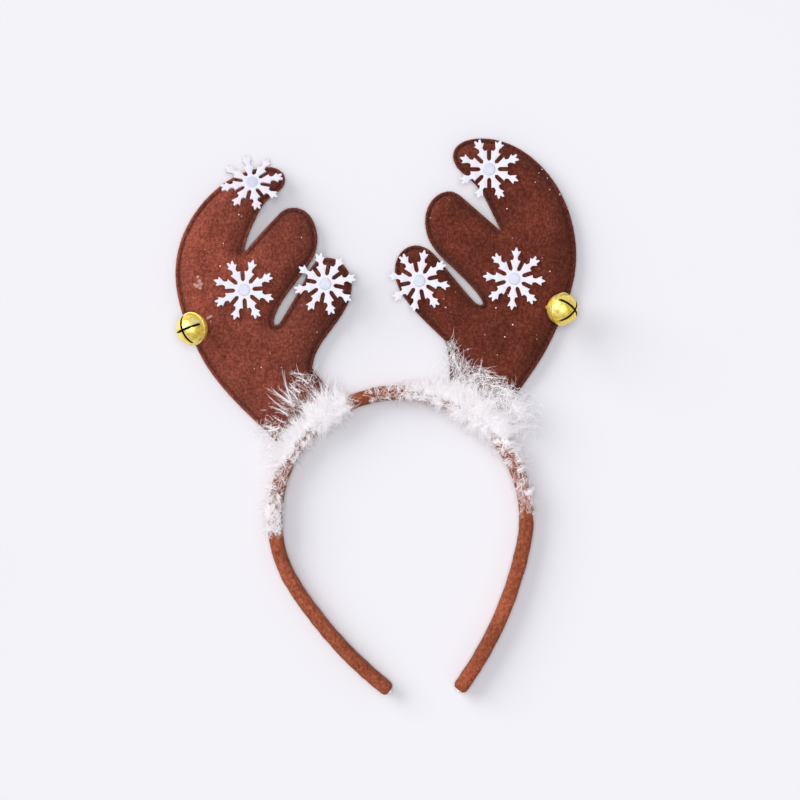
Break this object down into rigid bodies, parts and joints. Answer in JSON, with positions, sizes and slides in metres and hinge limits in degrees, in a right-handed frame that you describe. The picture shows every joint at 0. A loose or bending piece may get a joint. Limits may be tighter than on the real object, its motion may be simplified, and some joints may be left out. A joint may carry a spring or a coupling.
{
  "type": "reindeer antler headband",
  "caption": "Felt-covered headband with padded felt reindeer antlers, snowflake appliques, jingle bells and a white down trim, lying on its back.",
  "frame": {"origin": "the crown of the hoop, on the plane of the band's back edge, which is the surface the headband lies on", "axes": "+Z towards the headband's front, +Y from the legs up to the antlers, +X right as seen from the front"},
  "size_m": [0.1973, 0.2739, 0.0277],
  "materials": {
    "band_felt": "brushed rust-brown felt",
    "white_plastic": "plain white plastic strip",
    "antler_felt": "mottled chocolate-brown felt with tiny glitter specks",
    "snowflake_white": "white cut-out with a faint iridescent tint",
    "dot_pearl": "pale blue pearl",
    "bell_gold": "polished yellow gold plate",
    "pellet_steel": "plain steel",
    "white_down": "white marabou down"
  },
  "bodies": {
    "root": {"band_cover": "band_felt", "hoop_core": "white_plastic", "antler_left_front": "antler_felt", "antler_left_back": "antler_felt", "antler_right_front": "antler_felt", "antler_right_back": "antler_felt", "snowflake_left_top": "snowflake_white", "snowflake_left_middle": "snowflake_white", "snowflake_left_inner": "snowflake_white", "snowflake_right_top": "snowflake_white", "snowflake_right_middle": "snowflake_white", "snowflake_right_inner": "snowflake_white", "snowflake_dot_left_top": "dot_pearl", "snowflake_dot_left_middle": "dot_pearl", "snowflake_dot_left_inner": "dot_pearl", "snowflake_dot_right_top": "dot_pearl", "snowflake_dot_right_middle": "dot_pearl", "snowflake_dot_right_inner": "dot_pearl", "bell_left": "bell_gold", "bell_right": "bell_gold", "bell_pellet_left": "pellet_steel", "bell_pellet_right": "pellet_steel", "feather_trim": "white_down"}
  },
  "joints": []
}
